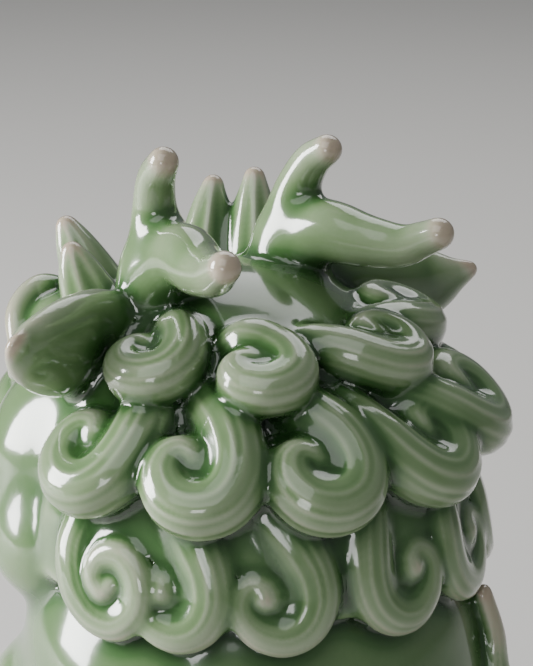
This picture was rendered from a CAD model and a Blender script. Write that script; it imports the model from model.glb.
"""Celadon foo dog: the glazed surface, its light and its camera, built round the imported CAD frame.

Every piece is a clay shape given by a signed distance in millimetres. All of them share one lattice,
on which the clay is blended where pieces are luted together, the glaze is flowed over it, and each
piece's own closed mesh is drawn. The glaze's depth over the clay is kept at each point for its colour.
"""
import math

import bpy
import numpy as np
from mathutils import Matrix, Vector


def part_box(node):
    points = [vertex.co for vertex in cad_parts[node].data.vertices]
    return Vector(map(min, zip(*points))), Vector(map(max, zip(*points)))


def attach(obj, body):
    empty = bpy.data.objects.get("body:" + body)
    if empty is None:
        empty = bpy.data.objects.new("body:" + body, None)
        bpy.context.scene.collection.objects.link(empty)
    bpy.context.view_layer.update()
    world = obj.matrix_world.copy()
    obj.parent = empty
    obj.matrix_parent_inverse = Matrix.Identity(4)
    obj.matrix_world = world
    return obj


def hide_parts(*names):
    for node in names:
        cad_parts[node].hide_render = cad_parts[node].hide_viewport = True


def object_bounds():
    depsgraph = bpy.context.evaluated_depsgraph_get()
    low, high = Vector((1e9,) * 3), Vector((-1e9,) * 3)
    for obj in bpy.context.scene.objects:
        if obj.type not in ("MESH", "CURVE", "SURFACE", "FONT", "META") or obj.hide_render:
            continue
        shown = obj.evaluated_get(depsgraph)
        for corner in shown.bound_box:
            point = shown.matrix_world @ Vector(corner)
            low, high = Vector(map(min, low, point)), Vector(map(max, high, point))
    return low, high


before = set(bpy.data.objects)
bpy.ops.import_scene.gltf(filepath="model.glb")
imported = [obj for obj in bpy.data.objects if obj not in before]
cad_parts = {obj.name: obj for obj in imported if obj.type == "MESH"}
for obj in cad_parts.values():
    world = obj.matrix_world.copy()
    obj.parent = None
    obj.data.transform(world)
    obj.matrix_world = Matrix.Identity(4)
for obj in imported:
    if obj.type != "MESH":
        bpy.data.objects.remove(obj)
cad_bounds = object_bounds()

MM = 1000.0                             # millimetres in one of the frame's metres
STEP = 0.4       # lattice spacing, mm
BLOCK = 4                               # lattice points along a side of one sampling block
MARGIN = 6.0                            # how far round its CAD box a piece's shape is sampled, mm
CURL_MARGIN = 13.0                      # the same for a curl or the head, which reach further out
FAR = 8.0                               # distance that stands for "nowhere near", mm
GLAZE = 0.3                             # mean depth of the glaze, mm
ROUNDING = 0.45                         # how widely it rounds the clay's edges, mm
POOL_WIDTH = 1.5                        # width of the hollows it pools in, mm
POOLING = 0.45                          # share of such a hollow that it fills
POOL_LIMITS = (-0.1, 0.5)               # least and most that this adds to the glaze's depth, mm
TONE_CONTRAST = 1.1                     # how strongly hollows and ridges show in the glaze's colour
SKIN = 3.0                              # how far from the clay's surface the glaze looks, mm
OVERLAP = 3 * STEP                      # how far a piece runs on under its neighbour, mm
TUCK = 0.12                             # how far it sinks on the way, so the neighbour hides it, mm


# ---------------------------------------------------------------- places taken from the frame
def corners(node):
    """Lowest and highest corners of a CAD node, in millimetres."""
    low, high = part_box(node)
    return np.array(low) * MM, np.array(high) * MM


RIM = corners("mane_cape")[0][2]
DECK = corners("plinth")[1][2]
CROWN = corners("head_shell")[1][2]
HEAD_MIDDLE = np.array([0.0, -4.0, CROWN - 33.0])
UP = np.array([0.0, 0.0, 1.0])
SIDEWAYS = np.array([1.0, 0.0, 0.0])


def on_head(x, y, height):
    """Point given by its height over the mane's rim."""
    return np.array([x, y, RIM + height])


def unit(vector):
    vector = np.asarray(vector, float)
    return vector / np.linalg.norm(vector)


# ---------------------------------------------------------------- signed distances, mm
def soft_min(a, b, width):
    """Smaller of two distances, with a fillet about `width` across where they meet."""
    if width <= 0:
        return np.minimum(a, b)
    mix = np.maximum(width - np.abs(a - b), 0) / width
    return np.minimum(a, b) - mix * mix * (width / 4)


def soft_max(a, b, width):
    return -soft_min(-a, -b, width)


def union(width, *shapes):
    """One shape made of several, blended over width."""
    def distance(points):
        result = shapes[0](points)
        for shape in shapes[1:]:
            result = soft_min(result, shape(points), width)
        return result
    return distance


def carved(shape, width, *tools):
    """Shape with tools cut out of it, their edges rounded over width."""
    def distance(points):
        result = shape(points)
        for tool in tools:
            result = soft_max(result, -tool(points), width)
        return result
    return distance


def turned(degrees_x=0.0, degrees_z=0.0):
    """Rows are the local axes of something tipped about X, then swung about Z."""
    x, z = math.radians(degrees_x), math.radians(degrees_z)
    tip = np.array([[1, 0, 0], [0, math.cos(x), -math.sin(x)], [0, math.sin(x), math.cos(x)]])
    swing = np.array([[math.cos(z), -math.sin(z), 0], [math.sin(z), math.cos(z), 0], [0, 0, 1]])
    return (swing @ tip).T


def ellipsoid(middle, radii, axes=None):
    """Ellipsoid of the given half axes; the rows of axes are the directions they lie along."""
    middle = np.asarray(middle, np.float32)
    radii = np.asarray(radii, np.float32)
    turn = np.eye(3, dtype=np.float32) if axes is None else np.asarray(axes, np.float32)

    def distance(points):
        local = ((points - middle) @ turn.T) / radii
        near = np.sqrt((local * local).sum(1)) + 1e-6
        slope = np.sqrt(((local / radii) ** 2).sum(1)) + 1e-6
        return near * (near - 1) / slope
    return distance


def spline(knots, spacing):
    """Points along a smooth curve through the knots, about `spacing` apart; every column follows."""
    knots = np.asarray(knots, float)
    padded = np.vstack([2 * knots[0] - knots[1], knots, 2 * knots[-1] - knots[-2]])
    rows = []
    for i in range(len(knots) - 1):
        a, b, c, d = padded[i:i + 4]
        count = max(2, int(np.linalg.norm((c - b)[:3]) / spacing))
        t = np.arange(count)[:, None] / count
        rows.append(
            0.5 * (2 * b + (c - a) * t + (2 * a - 5 * b + 4 * c - d) * t ** 2
                   + (3 * b - a - 3 * c + d) * t ** 3)
        )
    rows.append(knots[-1:])
    return np.vstack(rows)


def tube(knots, facing=UP, flat=1.0, flutes=0, groove=0.0, spacing=1.0):
    """Rounded strand along a smooth path of (x, y, z, radius). Its section is flat times as thick
    towards `facing` as it is wide, with grooves combed along it."""
    path = spline(knots, spacing).astype(np.float32)
    starts, ends = path[:-1], path[1:]
    lengths = np.linalg.norm((ends - starts)[:, :3], axis=1)
    along = np.concatenate([[0], np.cumsum(lengths)])
    facing = np.asarray(facing, np.float32)

    def distance(points):
        best = np.full(len(points), 1e9, np.float32)
        side = np.zeros(len(points), np.float32)
        rise = np.zeros(len(points), np.float32)
        thick = np.ones(len(points), np.float32)
        travel = np.zeros(len(points), np.float32)
        for i, (start, end) in enumerate(zip(starts, ends)):
            run = end[:3] - start[:3]
            length = float(np.sqrt(run @ run))
            if length < 1e-5:
                continue
            tangent = run / length
            across = np.cross(tangent, facing)
            if across @ across < 1e-4:
                across = np.cross(tangent, SIDEWAYS)
            across /= np.sqrt(across @ across)
            outward = np.cross(across, tangent)
            offset = points - start[:3]
            share = np.clip(offset @ tangent / length, 0, 1)
            radius = start[3] + (end[3] - start[3]) * share
            offset -= share[:, None] * run
            q_side = offset @ across
            q_rise = offset @ outward
            q_along = offset @ tangent
            if flat == 1.0:
                gap = np.sqrt(q_side * q_side + q_rise * q_rise + q_along * q_along) - radius
            else:
                squeezed = q_rise / flat
                near = np.sqrt(q_side * q_side + squeezed * squeezed + q_along * q_along) + 1e-6
                slope = np.sqrt(q_side * q_side + (squeezed / flat) ** 2 + q_along * q_along) + 1e-6
                gap = (near - radius) * near / slope
            closer = gap < best
            best = np.where(closer, gap, best)
            if flutes:
                side = np.where(closer, q_side, side)
                rise = np.where(closer, q_rise / flat, rise)
                thick = np.where(closer, radius, thick)
                travel = np.where(closer, along[i] + share * length, travel)
        if flutes:
            turn = np.arctan2(rise, side)
            uneven = flutes * turn + 0.9 * np.sin(3 * turn)
            strength = 0.7 + 0.3 * np.cos(2 * turn + travel / 5)
            comb = np.cos(uneven) * strength
            comb += 0.4 * np.cos((2 * flutes - 5) * turn + travel / 7)  # finer scratches between
            best += groove * np.minimum(thick / 4, 1) * comb
        return best
    return distance


def lofted(sections, low, high):
    """Upright body through horizontal ellipses (z, centre y, half width, half depth)."""
    table = spline(sections, 1.0)

    def distance(points):
        z = points[:, 2]
        middle = np.interp(z, table[:, 0], table[:, 1]).astype(np.float32)
        half_x = np.interp(z, table[:, 0], table[:, 2]).astype(np.float32)
        half_y = np.interp(z, table[:, 0], table[:, 3]).astype(np.float32)
        x, y = points[:, 0], points[:, 1] - middle
        near = np.sqrt((x / half_x) ** 2 + (y / half_y) ** 2) + 1e-6
        slope = np.sqrt((x / half_x ** 2) ** 2 + (y / half_y ** 2) ** 2) + 1e-6
        side = near * (near - 1) / slope
        return soft_max(soft_max(side, low - z, 3.0), z - high, 3.0)
    return distance


# ---------------------------------------------------------------- body
def torso():
    """Seated body, swelling under the mane's rim and closed off inside the head."""
    return lofted(
        ((DECK - 4, 15, 32, 31), (DECK + 17, 15, 38, 37), (DECK + 37, 11.5, 38.5, 37.5),
         (RIM - 24, 6, 41, 38), (RIM - 10, 2, 41.5, 38.5), (RIM + 1, 0, 38, 37),
         (RIM + 14, -2, 30, 30)),
        DECK, RIM + 14,
    )


def haunch(side):
    return ellipsoid((31.5 * side, 14, 36), (12.5, 24, 21.5))


def paw(middle, half_width, half_length):
    """Paw with four round toes."""
    middle = np.asarray(middle, float)
    shapes = [ellipsoid(middle, (half_width, half_length, 8.0))]
    for place in (-1.5, -0.5, 0.5, 1.5):
        reach = half_length * (0.86 - 0.09 * place * place)
        toe = middle + (place * half_width * 0.52, -reach, -1)
        shapes.append(ellipsoid(toe, (half_width * 0.3, 5.5, 6.3)))
    return union(1.6, *shapes)


def front_leg_left():
    leg = tube(((25, -8, 82, 12), (27, -24, 68, 12.5), (25, -34, 44, 9.5), (24.5, -37, 22, 9.0)))
    return union(4.0, leg, paw((24.5, -41.5, 21), 10.5, 12))


def ball_middle():
    low, high = corners("brocade_ball")
    return (low + high) / 2


def ball_radius():
    """Radius of the ball between its ribbons, which stand out to the CAD ball's surface."""
    low, high = corners("brocade_ball")
    return (high - low)[1] / 2 - 0.8


def front_leg_right():
    """Raised leg, its paw laid on the ball."""
    ball, radius = ball_middle(), ball_radius()
    leg = tube(((-25, -8, 84, 12), (-28, -27, 72, 12.5), (-27, -42, 60, 9.5), (-24.5, -46, 48, 8.5)))
    pad = ellipsoid(ball + (0, -2, radius + 2.5), (10.5, 11.5, 6.5), turned(14))
    toes = [
        ellipsoid(ball + (place * 5.4, -11, radius - 0.5), (3.2, 5, 5.5), turned(25))
        for place in (-1.5, -0.5, 0.5, 1.5)
    ]
    return union(1.6, union(4.0, leg, pad), *toes)


def brocade_ball():
    """Ball banded by three raised ribbons."""
    ball, radius = ball_middle(), ball_radius()

    def ring(axis, width=1.7):
        axis = unit(axis).astype(np.float32)

        def distance(points):
            local = points - ball.astype(np.float32)
            height = local @ axis
            flat = np.sqrt(np.maximum((local * local).sum(1) - height * height, 0))
            return np.sqrt((flat - radius + 0.8) ** 2 + height ** 2) - width
        return distance

    return union(0.8, ellipsoid(ball, (radius,) * 3),
                 ring((0, 0.5, 1)), ring((1, 0.3, -0.15)), ring((-0.4, 1, -0.5)))


def tail():
    """Tail laid up the back: a plume that ends in a narrow tip, with a shorter one each side."""
    stem = ((-6, 47, 22, 8), (-15, 49, 38, 10), (-22, 44, 56, 9.5), (-26, 38, 70, 6.2))
    comb = dict(flat=0.7, flutes=12, groove=0.3, spacing=1.0)
    main = tube(stem + ((-28.2, 34.4, 81, 3.0), (-28.8, 33.0, 88, 2.0), (-27.4, 31.4, 95, 1.7)),
                (-0.5, 1, 0), **comb)
    left = tube(((-6, 47, 30, 6), (-6, 49, 46, 7.5), (-11, 46, 62, 6), (-13, 42, 72, 1.6)),
                (-0.3, 1, 0), **comb)
    right = tube(((-14, 47, 28, 6), (-28, 42, 42, 7.5), (-37, 34, 56, 6), (-41, 28, 68, 1.6)),
                 (-0.8, 1, 0), **comb)
    return union(1.0, main, left, right)


def plinth():
    """Low base: a foot moulding, a waist and a deck moulding, hollow underneath, with a vent."""
    low, high = corners("plinth")
    half = (high - low) / 2
    corner, step, wall, edge = 22.0, 2.5, 5.0, 1.3
    vent = np.array([0.0, 15.0])

    def slab(points, inset, bottom, top, edge):
        across = np.abs(points[:, :2]) - (half[:2] - corner).astype(np.float32)
        outside = np.sqrt((np.maximum(across, 0) ** 2).sum(1))
        plan = outside + np.minimum(np.maximum(across[:, 0], across[:, 1]), 0) - corner + inset
        upright = np.abs(points[:, 2] - (bottom + top) / 2) - (top - bottom) / 2
        return soft_max(plan, upright, edge)

    def distance(points):
        body = soft_min(slab(points, 0, low[2], 4.5, edge), slab(points, step, 2, DECK - 2, edge), 1.0)
        body = soft_min(body, slab(points, 0, DECK - 4.5, DECK, edge), 1.0)
        hollow = slab(points, wall + step, -9.0, DECK - wall, 2.0)
        hole = np.sqrt(((points[:, :2] - vent) ** 2).sum(1)) - 9.0
        return soft_max(soft_max(body, -hollow, 1.0), -hole, 1.0).astype(np.float32)
    return distance


# ---------------------------------------------------------------- head and face
def head():
    skull = ellipsoid(HEAD_MIDDLE, (35, 36, 33))
    cheeks = [ellipsoid(on_head(21.5 * side, -21, 20), (16.5, 15, 19)) for side in (1, -1)]
    jowls = [ellipsoid(on_head(21.5 * side, -17, 7.5), (19, 17, 14)) for side in (1, -1)]
    return union(6.0, skull, *cheeks, *jowls)


def arc_over(side, knots):
    """Fold of clay along knots of (x, y, height over the rim, radius)."""
    return tube([(x * side, y, RIM + z, r) for x, y, z, r in knots], (0, -1, 0.2))


def eye(side):
    """Bulging eyeball with a pierced pupil, between a heavy upper lid and a thin lower one."""
    ball = ellipsoid(on_head(18 * side, -31, 37.5), (9.0, 8.6, 9.0))
    pupil = ellipsoid(on_head(16.5 * side, -40.2, 37), (2.4, 2.2, 2.4))
    upper = arc_over(side, ((9.0, -36, 38.5, 1.4), (12.0, -38.2, 43.2, 2.2), (18, -38.2, 46, 2.5),
                            (24.5, -35.6, 43.5, 2.2), (28.2, -30.5, 38.5, 1.4)))
    lower = arc_over(side, ((9.4, -37, 36.0, 1.2), (13.0, -39.6, 31.2, 1.5), (18.5, -39.6, 29.4, 1.6),
                            (24.5, -36.6, 31.6, 1.5), (28.0, -31, 36.5, 1.2)))
    return union(0.8, carved(ball, 0.6, pupil), upper, lower)


def muzzle():
    """Broad muzzle of a bridge and two pads, each pad pricked with whisker holes."""
    bridge = ellipsoid(on_head(0, -33, 28), (15, 20, 11))
    reach = np.array([15.0, 15.0, 11.0])
    pads, pits = [], []
    for side in (1, -1):
        middle = on_head(11 * side, -39, 22)
        pads.append(ellipsoid(middle, reach))
        for across, lift in ((0.18, -0.05), (0.48, 0.1), (0.36, -0.22), (0.66, -0.1), (0.56, -0.4)):
            away = unit((across * side, -math.sqrt(1 - across ** 2 - lift ** 2), lift))
            pits.append(ellipsoid(middle + away * reach, (0.95, 0.95, 0.95)))
    return carved(union(3.0, bridge, *pads), 0.6, *pits)


def nose():
    wings = [ellipsoid(on_head(5 * side, -51.5, 30.5), (5.5, 5.5, 5)) for side in (1, -1)]
    nostrils = [ellipsoid(on_head(4.5 * side, -56.5, 28.8), (2.0, 2.4, 1.6)) for side in (1, -1)]
    tip = ellipsoid(on_head(0, -52.3, 31.5), (6.5, 6, 6))
    return carved(union(1.5, tip, *wings), 0.8, *nostrils)


def lower_jaw():
    jaw = ellipsoid(on_head(0, -31, -1), (21, 24, 10))
    mouth = ellipsoid(on_head(0, -32, 7.5), (17.5, 20.5, 6.5))
    return carved(jaw, 1.2, mouth)


def tongue():
    return tube(
        ((0, -20, RIM + 2.5, 9), (0, -34, RIM + 3, 10), (0, -44, RIM + 4.5, 8), (0, -50, RIM + 7.5, 4)),
        flat=0.32,
    )


def teeth(middle, radii, direction):
    """Gum plate with a row of teeth round its front, and two fangs."""
    middle = np.asarray(middle, float)
    shapes = [ellipsoid(middle, radii)]
    for turn in range(-75, 76, 15):
        angle = math.radians(turn)
        root = middle + ((radii[0] - 2.8) * math.sin(angle), (2.8 - radii[1]) * math.cos(angle), 0)
        fang = abs(turn) == 45
        height, point = (9.5, 0.9) if fang else (4.8, 1.5)
        tip = root + (0, 0, direction * height)
        shapes.append(tube(((*root, 2.6), (*tip, point))))
    return union(0.5, *shapes)


def beard():
    locks = [
        tube(((x, -46, RIM - 4, 5.5), (1.3 * x, -49, RIM - 12, 5.0), (1.2 * x, -47, RIM - low, 1.6)),
             (0, -1, 0), flutes=9, groove=0.3)
        for x, low in ((-7, 19), (0, 24), (7, 19))
    ]
    return union(0.8, *locks)


def horn(side):
    """Horn that forks into an upright tine and a long one to the rear; the left stands straighter."""
    lift, lean = (2.0, -1.6) if side > 0 else (0.0, 0.0)
    upright = (
        (13.8, -8, 47, 7.6), (14.0, -7.3, 55, 6.6), (14.3, -6.6, 61, 5.0), (14.6, -5.6 + lean, 66.5, 3.7),
        (15.2, -2.6 + 2 * lean, 71.5 + lift / 2, 3.1), (16.0, 0.8 + 2 * lean, 74.2 + lift, 2.5),
    )
    rear = (
        (14.0, -5.5, 56.5, 6.0), (15.3, 2.0, 60 + lift / 2, 5.3), (17.2, 9.5, 59.8 + lift / 2, 4.4),
        (19.6, 16.5, 60 + lift, 3.5), (21.2, 20.5, 61.8 + lift, 2.9), (22.2, 23.2, 63.2 + lift, 2.6),
    )
    tines = [
        tube([(x * side, y, RIM + z, r) for x, y, z, r in path], spacing=0.7) for path in (upright, rear)
    ]
    return union(3.0, *tines)


def ear(side):
    """Leaf-shaped ear, hollow towards the face; the right one droops a little more."""
    droop = 0.0 if side > 0 else 1.0
    leaf = tube(
        [(x * side, y, RIM + z, r) for x, y, z, r in (
            (20, -9, 44 - droop, 6.5), (27, -8, 46.0 - 2 * droop, 8.8), (34, -5, 47.2 - 3 * droop, 9.0),
            (40.5, -2.5, 48.6 - 4 * droop, 6.8), (44.6, -1.0 + droop, 50 - 4 * droop, 4.0),
            (47.2, 0.5 + 1.5 * droop, 51.2 - 4 * droop, 2.2))],
        facing=(0.25 * side, 1, -0.1), flat=0.5, spacing=0.8,
    )
    hollow = ellipsoid(on_head(35.5 * side, -11.5, 47.5 - 3 * droop), (12, 5.5, 6.5), turned(0, 18 * side))
    return carved(leaf, 1.5, hollow)


def brow(side):
    """Two flame-shaped tufts over one eye; on the right the outer one stands taller."""
    if side > 0:
        tips = (14.4, -35.0, 57.6), (20.8, -23.4, 56.6)
    else:
        tips = (16.5, -33.4, 60.6), (21.3, -27.2, 62.6)
    roots = (10.5, -26.5, 43.0), (17.0, -18.5, 43.0)
    shapes = []
    for root, tip in zip(roots, tips):
        root, tip = np.array(root), np.array(tip)
        path = []
        for share, bulge, radius in ((0, 0, 5.4), (0.35, 1.2, 5.0), (0.72, 0.8, 3.6), (1, 0, 1.9)):
            x, y, z = root + (tip - root) * share + (0, -bulge, 0)
            path.append((x * side, y, RIM + z, radius))
        shapes.append(tube(path, (0, 1, 0.2), flutes=7, groove=0.2))
    return union(1.6, *shapes)


# ---------------------------------------------------------------- mane
def cape():
    """Bell-shaped strip round the back of the head."""
    table = np.array(((RIM, 38.6), (RIM + 6, 39.2), (RIM + 18, 38.2), (RIM + 32, 34.0), (RIM + 40, 28)))
    sweep = math.radians(104)

    def distance(points):
        reach = np.sqrt(points[:, 0] ** 2 + points[:, 1] ** 2)
        side = reach - np.interp(points[:, 2], table[:, 0], table[:, 1]).astype(np.float32)
        side = soft_max(side, RIM + 6 - points[:, 2], 2.5)
        side = soft_max(side, points[:, 2] - RIM - 36, 2.0)
        turn = np.abs(np.arctan2(points[:, 0], points[:, 1]))
        return soft_max(side, (turn - sweep) * 36, 2.0).astype(np.float32)
    return distance


# A strand that coils clockwise: right, up and outward from the curl's middle, then its radius.
FAT_COIL = (
    (-1.5, 16.5, -5.5, 3.8), (1.2, 12.5, -2.4, 4.4), (3.9, 8.0, -0.6, 4.8), (5.5, 3.4, 0.0, 4.9),
    (5.5, -1.2, 0.0, 5.0), (3.4, -4.7, 0.0, 5.0), (-0.3, -5.7, 0.0, 5.0), (-3.8, -4.2, 0.0, 4.8),
    (-5.6, -0.9, 0.0, 4.4), (-5.2, 2.1, 0.3, 3.7), (-3.4, 3.5, 0.9, 2.9), (-1.7, 2.8, 1.6, 2.2),
    (-1.1, 1.5, 1.7, 1.6),
)
SHORT_COIL = ((1.6, 11.0, -4.5, 3.8), *FAT_COIL[2:])
BROAD_COIL = (
    (-1.0, 17.0, -3.0, 3.8), (1.6, 12.0, -1.2, 4.4), (4.2, 7.0, -0.2, 4.5), (5.6, 2.5, 0.0, 4.3),
    (5.4, -2.0, 0.0, 4.1), (3.0, -5.6, 0.0, 3.9), (-0.8, -6.8, 0.0, 3.6), (-4.7, -5.3, 0.0, 3.1),
    (-7.0, -2.2, 0.1, 2.5), (-7.0, 1.0, 0.3, 2.1), (-5.0, 2.9, 0.5, 1.9), (-3.1, 2.0, 0.8, 2.1),
    (-3.0, 0.7, 1.0, 2.2),
)
TIGHT_COIL = (
    (7.5, 9.0, -1.5, 3.2), (8.0, 3.5, -0.3, 3.6), (6.3, -2.0, 0.0, 3.7), (2.5, -5.6, 0.2, 3.3),
    (-2.0, -6.0, 0.4, 3.0), (-5.4, -2.8, 0.8, 2.7), (-5.2, 1.6, 1.2, 2.5), (-2.2, 4.4, 1.5, 2.4),
    (1.4, 3.6, 1.7, 2.2), (2.4, 0.6, 1.8, 2.0), (0.6, -1.4, 1.9, 1.8), (-0.9, -0.2, 1.9, 1.5),
)
TIGHT_SIZE = 1.12                       # how much larger than its row a tight coil is made
STRAND_FLUTES = 14                      # grooves combed round a strand
STRAND_GROOVE = 0.19                    # their depth, mm
RIDGE_PITCH = 1.9                       # spacing of the ridges in a coil's middle, mm
RIDGE_HEIGHT = 0.13                     # half their height, mm
# Each row: its radius and height over the rim (mm), how far its curls look up (degrees), their size
# against the coils above, how much of a coil's middle is filled (mm), and how flat its strand is.
# Each curl: azimuth from the back of the head round to its left side, how far its strand swings over
# to the viewer's left (both in degrees), how far it sits above its row (mm), and its coil.
ROWS = {
    "top": dict(ring=26.0, height=46.0, tilt=66, size=0.84, fill=2.8, curls=(
        (74, 30, 0, SHORT_COIL), (32, 40, 0, SHORT_COIL), (-20.5, 42, 0, FAT_COIL),
        (-64, 50, 0, FAT_COIL))),
    "middle": dict(ring=36.5, height=31.5, tilt=44, size=1.0, fill=2.8, curls=(
        (80, -12, 0, FAT_COIL), (49, 6, 0, FAT_COIL), (18, 10, 0, FAT_COIL), (-15, 36, 0, FAT_COIL),
        (-41, 50, 3, FAT_COIL), (-78, 30, 0, FAT_COIL))),
    "lower": dict(ring=38.6, height=11.5, tilt=12, size=0.95, flat=0.75, fill=1.3, curls=(
        (72, 0, 0, TIGHT_COIL), (54, 8, 0, BROAD_COIL), (29, 8, 0, BROAD_COIL), (-2, 14, 0, BROAD_COIL),
        (-29, 14, 0, BROAD_COIL), (-54, 14, 0, BROAD_COIL), (-78, 0, 0, BROAD_COIL))),
}


def curl(row, azimuth, swing, lift, knots):
    """Curl whose strand coils about an axis that looks outward and up from the head."""
    turn, tilt, swing = math.radians(azimuth), math.radians(row["tilt"]), math.radians(swing)
    away = np.array([math.sin(turn), math.cos(turn), 0.0])
    outward = away * math.cos(tilt) + UP * math.sin(tilt)
    upward = UP * math.cos(tilt) - away * math.sin(tilt)
    right = np.cross(upward, outward)
    upward, right = (upward * math.cos(swing) - right * math.sin(swing),
                     right * math.cos(swing) + upward * math.sin(swing))
    if azimuth < 0 or knots is TIGHT_COIL:
        right = -right                  # it coils the other way
    middle = away * row["ring"] + UP * (RIM + row["height"] + lift)
    flat = row.get("flat", 1.0)
    size = row["size"] * (TIGHT_SIZE if knots is TIGHT_COIL else 1.0)
    path = [
        (*(middle + (right * r + upward * u + outward * o) * size), radius * size)
        for r, u, o, radius in knots
    ]
    strand = tube(path, outward, flat=flat, flutes=STRAND_FLUTES, groove=STRAND_GROOVE, spacing=0.55)
    core = ellipsoid(middle + outward * (row["fill"] - 5.0) * size, np.array([8.0, 8.0, 5.0]) * size,
                     (unit(right), unit(upward), outward))
    frame_of_curl = np.array((right, upward), np.float32)

    def combed(points):
        """Fill of the coil, with ridges that run in to its middle."""
        across, along = frame_of_curl @ (points - middle.astype(np.float32)).T
        winding = 2 * math.pi * np.sqrt(across ** 2 + along ** 2)
        wave = winding / (RIDGE_PITCH * size) - np.arctan2(along, across)
        return core(points) + RIDGE_HEIGHT * np.cos(wave)
    return union(1.3, strand, combed)


# ---------------------------------------------------------------- the shared lattice
class Lattice:
    """Regular grid of points with the clay's distance, and the two nearest pieces' at each."""

    def __init__(self, low, high):
        self.low = np.asarray(low, np.float32)
        blocks = np.ceil((np.asarray(high) - self.low) / (STEP * BLOCK)).astype(int)
        self.shape = tuple(blocks * BLOCK)
        self.clay = np.full(self.shape, FAR, np.float32)
        self.first = np.full(self.shape, FAR, np.float32)
        self.second = np.full(self.shape, FAR, np.float32)
        self.owner = np.full(self.shape, -1, np.int8)
        self.runner = np.full(self.shape, -1, np.int8)

    def region(self, low, high):
        """Slices, aligned to blocks, that hold the box."""
        start = np.floor((low - self.low) / (STEP * BLOCK)).astype(int)
        stop = np.ceil((high - self.low) / (STEP * BLOCK)).astype(int)
        start = np.clip(start, 0, np.array(self.shape) // BLOCK) * BLOCK
        stop = np.clip(stop, 0, np.array(self.shape) // BLOCK) * BLOCK
        return tuple(slice(int(a), int(b)) for a, b in zip(start, stop))

    def sample(self, region, distance, band):
        """Distances over a region: exact near the surface, one value a block elsewhere."""
        start = np.array([s.start for s in region])
        blocks = (np.array([s.stop for s in region]) - start) // BLOCK
        cells = np.stack(np.meshgrid(*(np.arange(n) for n in blocks), indexing="ij"), -1)
        cells = cells.reshape(-1, 3)
        middles = self.low + (start + cells * BLOCK + (BLOCK - 1) / 2) * STEP
        coarse = distance(middles.astype(np.float32)).astype(np.float32)
        reach = band + BLOCK * STEP
        near = np.abs(coarse) < reach
        values = np.repeat(coarse[:, None], BLOCK ** 3, 1)
        offsets = np.stack(np.meshgrid(*(np.arange(BLOCK),) * 3, indexing="ij"), -1).reshape(-1, 3)
        points = self.low + (start + cells[near][:, None, :] * BLOCK + offsets) * STEP
        values[near] = distance(points.reshape(-1, 3).astype(np.float32)).reshape(-1, BLOCK ** 3)
        grid = values.reshape(*blocks, BLOCK, BLOCK, BLOCK).transpose(0, 3, 1, 4, 2, 5)
        return np.ascontiguousarray(grid).reshape(blocks * BLOCK)

    def add(self, number, low, high, distance, blend):
        """Lutes one more piece on."""
        region = self.region(low, high)
        value = self.sample(region, distance, max(blend, 2.5) + 0.5)
        self.clay[region] = soft_min(self.clay[region], value, blend)
        first, second = self.first[region], self.second[region]
        owner, runner = self.owner[region], self.runner[region]
        best = value < first
        next_best = ~best & (value < second)
        self.second[region] = np.where(best, first, np.where(next_best, value, second))
        self.runner[region] = np.where(best, owner, np.where(next_best, number, runner))
        self.first[region] = np.where(best, value, first)
        self.owner[region] = np.where(best, number, owner)

    def glaze(self):
        """Flows the glaze over the clay: it rounds edges, fills hollows and thins on ridges."""
        clay = np.clip(self.clay, -SKIN, SKIN)
        fine = blurred(clay, ROUNDING)
        broad = blurred(fine, POOL_WIDTH)
        pool = np.clip(POOLING * (fine - broad), *POOL_LIMITS)
        height = self.low[2] + STEP * np.arange(self.shape[2], dtype=np.float32)
        self.surface = np.maximum(fine - GLAZE - pool, -height)     # nothing below the floor
        self.depth = clay + TONE_CONTRAST * (fine - broad)


def blurred(grid, radius):
    """Grid averaged twice along each axis, which is close to a round blur of that radius in mm."""
    reach = max(1, round(radius / STEP))
    for axis in range(3):
        for _ in range(2):
            padded = np.pad(grid, [(reach + 1, reach) if a == axis else (0, 0) for a in range(3)], "edge")
            total = np.cumsum(padded, axis=axis, dtype=np.float32)
            count = grid.shape[axis]
            width = 2 * reach + 1
            upper = np.take(total, range(width, width + count), axis=axis)
            lower = np.take(total, range(0, count), axis=axis)
            grid = (upper - lower) / width
    return grid


def surface_net(values, low, step):
    """Closed quad mesh of the zero surface of a block of lattice values: points in mm and quads."""
    inside = values < 0
    shape = np.array(values.shape)
    cells, spots, quads = [], [], []
    for axis in range(3):
        near = [slice(1, -1)] * 3
        far = [slice(1, -1)] * 3
        near[axis], far[axis] = slice(0, -1), slice(1, None)
        a, b = inside[tuple(near)], inside[tuple(far)]
        at = np.argwhere(a != b)
        start = at + [0 if k == axis else 1 for k in range(3)]
        stop = start + [1 if k == axis else 0 for k in range(3)]
        v0, v1 = values[tuple(start.T)], values[tuple(stop.T)]
        spot = start.astype(np.float64)
        spot[:, axis] += v0 / (v0 - v1)
        u, w = (axis + 1) % 3, (axis + 2) % 3
        ring = []
        for du, dw in ((0, 0), (-1, 0), (-1, -1), (0, -1)):
            cell = start.copy()
            cell[:, u] += du
            cell[:, w] += dw
            ring.append(np.ravel_multi_index(cell.T, shape))
            cells.append(ring[-1])
            spots.append(spot)
        quad = np.stack(ring, 1)
        leaving = inside[tuple(start.T)]
        quads.append(np.where(leaving[:, None], quad, quad[:, ::-1]))
    cells, spots = np.concatenate(cells), np.concatenate(spots)
    names, index = np.unique(cells, return_inverse=True)
    count = np.bincount(index)
    points = np.stack([np.bincount(index, spots[:, k]) / count for k in range(3)], 1)
    faces = np.searchsorted(names, np.concatenate(quads))
    return low + points * step, faces


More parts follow.
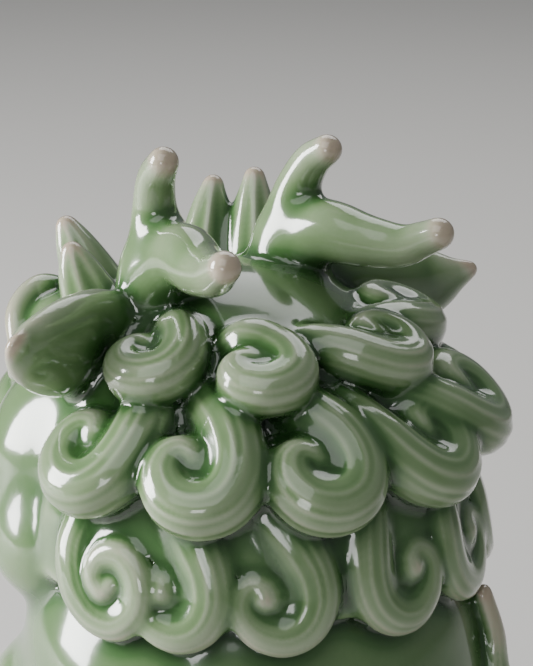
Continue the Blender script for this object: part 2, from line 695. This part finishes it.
def looked_up(grid, points):
    """Values of a grid at points given in lattice steps, blended between the eight nearest."""
    cell = np.clip(np.floor(points).astype(int), 0, np.array(grid.shape) - 2)
    share = points - cell
    total = 0.0
    for corner in np.ndindex(2, 2, 2):
        weight = np.prod(np.where(corner, share, 1 - share), axis=1)
        total = total + weight * grid[tuple((cell + corner).T)]
    return total


PIECES = {
    # node: (shape, how wide a fillet of clay lutes it on, mm)
    "torso_shell": (torso(), 0.0),
    "haunch_left": (haunch(1), 4.0),
    "haunch_right": (haunch(-1), 4.0),
    "front_leg_left": (front_leg_left(), 4.0),
    "front_leg_right": (front_leg_right(), 4.0),
    "hind_paw_left": (paw((33, -9, 21), 9.5, 13), 2.5),
    "hind_paw_right": (paw((-33, -9, 21), 9.5, 13), 2.5),
    "plinth": (plinth(), 0.8),
    "brocade_ball": (brocade_ball(), 0.8),
    "tail": (tail(), 1.5),
    "head_shell": (head(), 2.0),
    "eye_left": (eye(1), 1.5),
    "eye_right": (eye(-1), 1.5),
    "muzzle": (muzzle(), 3.0),
    "nose": (nose(), 1.5),
    "lower_jaw": (lower_jaw(), 2.0),
    "tongue": (tongue(), 1.5),
    "upper_teeth": (teeth(on_head(0, -34, 13), (19.5, 18, 4), -1), 0.8),
    "lower_teeth": (teeth(on_head(0, -33, 1.5), (17, 18, 1.5), 1), 0.8),
    "beard": (beard(), 1.5),
    "mane_cape": (cape(), 1.5),
    "horn_left": (horn(1), 2.0),
    "horn_right": (horn(-1), 2.0),
    "ear_left": (ear(1), 1.5),
    "ear_right": (ear(-1), 1.5),
    "brow_left": (brow(1), 2.0),
    "brow_right": (brow(-1), 2.0),
}
for row_name, row in ROWS.items():
    for number, details in enumerate(row["curls"], 1):
        PIECES[f"mane_{row_name}_curl_{number}"] = (curl(row, *details), 0.9)

# Words in the names of the small or combed pieces, which are drawn on every lattice point; the
# smooth bodies are drawn on every second one.
FINE = ("curl", "horn", "ear_", "brow", "eye", "nose", "teeth", "ball", "tongue", "tail", "muzzle",
        "paw")
SMOOTH_STRIDE = 2


def reach_of(name):
    """Corners of the space round a node in which its piece is drawn."""
    low, high = corners(name)
    margin = CURL_MARGIN if "curl" in name or "head" in name else MARGIN
    return low - margin, high + margin


def glazed_lattice():
    """The clay of every piece, luted together and glazed."""
    low = np.array(cad_bounds[0]) * MM - MARGIN
    high = np.array(cad_bounds[1]) * MM + MARGIN
    lattice = Lattice(low, high)
    for number, (name, (shape, blend)) in enumerate(PIECES.items()):
        lattice.add(number, *reach_of(name), shape, blend)
    lattice.glaze()
    return lattice


def piece_mesh(lattice, number, name):
    """The glazed surface inside one piece's own cell, closed where it meets its neighbours."""
    region = lattice.region(*reach_of(name))
    stride = 1 if any(word in name for word in FINE) else SMOOTH_STRIDE
    first, second = lattice.first[region], lattice.second[region]
    mine = np.where(lattice.owner[region] == number, (first - second) / 2,
                    np.where(lattice.runner[region] == number, (second - first) / 2, FAR))
    beyond = np.clip(mine / OVERLAP, 0, 1)
    value = np.maximum(lattice.surface[region] + TUCK * beyond ** 2, mine - OVERLAP)
    value = value[::stride, ::stride, ::stride]
    edge = np.ones(value.shape, bool)
    edge[2:-2, 2:-2, 2:-2] = False
    value[edge] = FAR
    start = np.array([s.start for s in region])
    points, faces = surface_net(value, lattice.low + start * STEP, STEP * stride)
    depth = looked_up(lattice.depth, (points - lattice.low) / STEP)
    mesh = bpy.data.meshes.new(name + "_glazed")
    mesh.vertices.add(len(points))
    mesh.vertices.foreach_set("co", (points / MM).astype(np.float32).ravel())
    mesh.loops.add(faces.size)
    mesh.loops.foreach_set("vertex_index", faces.astype(np.int32).ravel())
    mesh.polygons.add(len(faces))
    mesh.polygons.foreach_set("loop_start", np.arange(0, faces.size, 4, dtype=np.int32))
    mesh.polygons.foreach_set("use_smooth", np.ones(len(faces), bool))
    mesh.update(calc_edges=True)
    layer = mesh.attributes.new("glaze_depth", "FLOAT", "POINT")
    layer.data.foreach_set("value", depth.astype(np.float32))
    return mesh


# ---------------------------------------------------------------- materials
def new_material(name):
    material = bpy.data.materials.new(name)
    material.use_nodes = True
    material.node_tree.nodes.clear()
    return material, material.node_tree


def add_node(tree, kind, values=None, **settings):
    """New shader node: settings are its own properties, values go into its input sockets."""
    node = tree.nodes.new(kind)
    for key, value in settings.items():
        setattr(node, key, value)
    for key, value in (values or {}).items():
        if isinstance(value, bpy.types.NodeSocket):
            tree.links.new(value, node.inputs[key])
        else:
            node.inputs[key].default_value = value
    return node


def sum_of(tree, a, b, weight=1.0):
    """Socket that carries a + weight * b."""
    node = add_node(tree, "ShaderNodeMath", {0: b, 1: weight, 2: a}, operation="MULTIPLY_ADD")
    return node.outputs[0]


def noise(tree, place, scale, detail=2.0):
    """Socket that carries a cloudy pattern between 0 and 1."""
    node = add_node(tree, "ShaderNodeTexNoise", {"Vector": place, "Scale": scale, "Detail": detail})
    return node.outputs["Fac"]


def ramp(tree, value, low, high, stops):
    """Socket that carries the colour for a value between low and high."""
    share = add_node(tree, "ShaderNodeMapRange", {"Value": value, "From Min": low, "From Max": high})
    node = add_node(tree, "ShaderNodeValToRGB", {"Fac": share.outputs["Result"]})
    elements = node.color_ramp.elements
    while len(elements) < len(stops):
        elements.new(0.5)
    for element, (position, colour) in zip(elements, stops):
        element.position = position
        element.color = (*colour, 1)
    return node.outputs["Color"]


# Colour of the glaze by its depth, from a ridge (0) to a pool (1), and of the wiped foot ring.
GLAZE_THINNEST, GLAZE_DEEPEST = -0.6, 1.4        # mm at the two ends
GLAZE_TONES = (
    (0.00, (0.390, 0.325, 0.245)), (0.12, (0.350, 0.350, 0.255)), (0.20, (0.275, 0.330, 0.215)),
    (0.275, (0.205, 0.275, 0.155)), (0.35, (0.148, 0.225, 0.106)), (0.44, (0.112, 0.188, 0.079)),
    (0.58, (0.052, 0.118, 0.037)), (0.80, (0.024, 0.068, 0.017)), (1.00, (0.011, 0.036, 0.009)),
)
BARE_CLAY = ((0.0, (0.30, 0.095, 0.040)), (1.0, (0.48, 0.185, 0.085)))


def mixed(tree, share, a, b, kind="RGBA"):
    """Socket that carries a where share is 0 and b where it is 1."""
    node = add_node(tree, "ShaderNodeMix", {"Factor": share}, data_type=kind)
    sockets = [socket for socket in node.inputs if socket.enabled and socket.name in ("A", "B")]
    for socket, value in zip(sockets, (a, b)):
        if isinstance(value, bpy.types.NodeSocket):
            tree.links.new(value, socket)
        else:
            socket.default_value = value
    return next(socket for socket in node.outputs if socket.enabled)


def celadon():
    """Clear green glaze, pale where it has run thin over ridges and deep green where it pools.

    The rim the statue stands on was wiped bare before firing, and its clay has burnt orange-red."""
    material, tree = new_material("celadon_glaze")
    place = add_node(tree, "ShaderNodeTexCoord").outputs["Object"]
    depth = add_node(tree, "ShaderNodeAttribute", attribute_name="glaze_depth").outputs["Fac"]
    depth = sum_of(tree, depth, noise(tree, place, 70.0, 3.0), 0.16)
    depth = sum_of(tree, depth, noise(tree, place, 900.0, 2.0), 0.05)
    glaze = ramp(tree, depth, GLAZE_THINNEST, GLAZE_DEEPEST, GLAZE_TONES)
    sway = add_node(tree, "ShaderNodeBump", {"Height": noise(tree, place, 130.0), "Distance": 0.0001,
                                             "Strength": 0.35})
    height = add_node(tree, "ShaderNodeSeparateXYZ", {"Vector": place}).outputs["Z"]
    edge = sum_of(tree, height, noise(tree, place, 400.0), -0.0008)
    bare = add_node(tree, "ShaderNodeMapRange", {
        "Value": edge, "From Min": 0.0009, "From Max": 0.0005}).outputs["Result"]
    clay = ramp(tree, noise(tree, place, 1500.0, 4.0), 0.3, 0.7, BARE_CLAY)
    shader = add_node(tree, "ShaderNodeBsdfPrincipled", {
        "Base Color": mixed(tree, bare, glaze, clay), "Roughness": mixed(tree, bare, 0.15, 0.8, "FLOAT"),
        "IOR": 1.5, "Normal": sway.outputs["Normal"], "Coat Roughness": 0.03, "Coat IOR": 1.52,
        "Coat Weight": mixed(tree, bare, 0.6, 0.0, "FLOAT"), "Coat Normal": sway.outputs["Normal"],
        "Subsurface Weight": 0.12, "Subsurface Radius": (0.6, 1.0, 0.5), "Subsurface Scale": 0.001,
    })
    add_node(tree, "ShaderNodeOutputMaterial", {"Surface": shader.outputs["BSDF"]})
    return material


def paper():
    """Matt pale paper for the floor."""
    material, tree = new_material("floor_paper")
    shader = add_node(tree, "ShaderNodeBsdfPrincipled", {
        "Base Color": (0.52, 0.51, 0.49, 1), "Roughness": 0.8})
    add_node(tree, "ShaderNodeOutputMaterial", {"Surface": shader.outputs["BSDF"]})
    return material


# ---------------------------------------------------------------- studio
CAMERA_AZIMUTH = 143.0                  # degrees round from the front, towards the left side
CAMERA_ELEVATION = 18.0
CAMERA_DISTANCE = 0.450                 # metres
CAMERA_SHIFT = 0.00284                  # metres from the statue's axis to the picture's right
LENS = 141.4                            # mm, as is the sensor
SENSOR = 36.0


def direction(azimuth, elevation):
    """Unit vector from the statue towards an azimuth (0 is its front) and elevation."""
    turn, lift = math.radians(azimuth), math.radians(elevation)
    return Vector((math.sin(turn) * math.cos(lift), -math.cos(turn) * math.cos(lift), math.sin(lift)))


def look_back(thing, place, back):
    """Puts a lamp or the camera at a place, facing away from back."""
    thing.location = place
    thing.rotation_mode = "QUATERNION"
    thing.rotation_quaternion = back.to_track_quat("Z", "Y")
    bpy.context.scene.collection.objects.link(thing)


def softbox(name, azimuth, elevation, distance, width, height, power):
    """Rectangular lamp that faces the head and isn't seen by the camera itself."""
    data = bpy.data.lights.new(name, "AREA")
    data.shape = "RECTANGLE"
    data.size, data.size_y, data.energy = width, height, power
    lamp = bpy.data.objects.new(name, data)
    lamp.visible_camera = False
    back = direction(azimuth, elevation)
    look_back(lamp, Vector((0, 0, (RIM + 30) / MM)) + back * distance, back)


def build_studio():
    """Pale floor, dim even surroundings and four soft lights."""
    bpy.ops.mesh.primitive_plane_add(size=8.0, location=(0, 0, 0))
    floor = bpy.context.object
    floor.name = "floor"
    floor.data.materials.append(paper())
    world = bpy.data.worlds.new("studio")
    world.use_nodes = True
    backdrop = world.node_tree.nodes["Background"]
    backdrop.inputs["Color"].default_value = (0.30, 0.31, 0.32, 1)
    backdrop.inputs["Strength"].default_value = 0.55
    bpy.context.scene.world = world
    softbox("key_window", CAMERA_AZIMUTH - 92, 15, 0.8, 0.32, 0.5, 19.0)
    softbox("far_window", CAMERA_AZIMUTH + 168, 46, 0.9, 0.8, 0.55, 4.0)
    softbox("near_window", CAMERA_AZIMUTH - 16, 8, 1.6, 0.45, 0.4, 4.0)
    softbox("room_light", CAMERA_AZIMUTH - 25, 52, 1.8, 1.6, 1.6, 14.0)


def build_camera():
    """Camera at the photograph's angle: behind the left shoulder and a little above."""
    back = direction(CAMERA_AZIMUTH, CAMERA_ELEVATION)
    left = direction(CAMERA_AZIMUTH - 90, 0)
    target = Vector((0, 0, (RIM + 44) / MM)) - left * CAMERA_SHIFT
    data = bpy.data.cameras.new("camera")
    data.lens, data.sensor_width, data.clip_start = LENS, SENSOR, 0.01
    camera = bpy.data.objects.new("camera", data)
    look_back(camera, target + back * CAMERA_DISTANCE, back)
    bpy.context.scene.camera = camera


# ---------------------------------------------------------------- build
lattice = glazed_lattice()
glaze_material = celadon()
for number, name in enumerate(PIECES):
    mesh = piece_mesh(lattice, number, name)
    mesh.materials.append(glaze_material)
    piece = bpy.data.objects.new(name + "_glazed", mesh)
    bpy.context.scene.collection.objects.link(piece)
    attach(piece, "root")
    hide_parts(name)
build_studio()
build_camera()
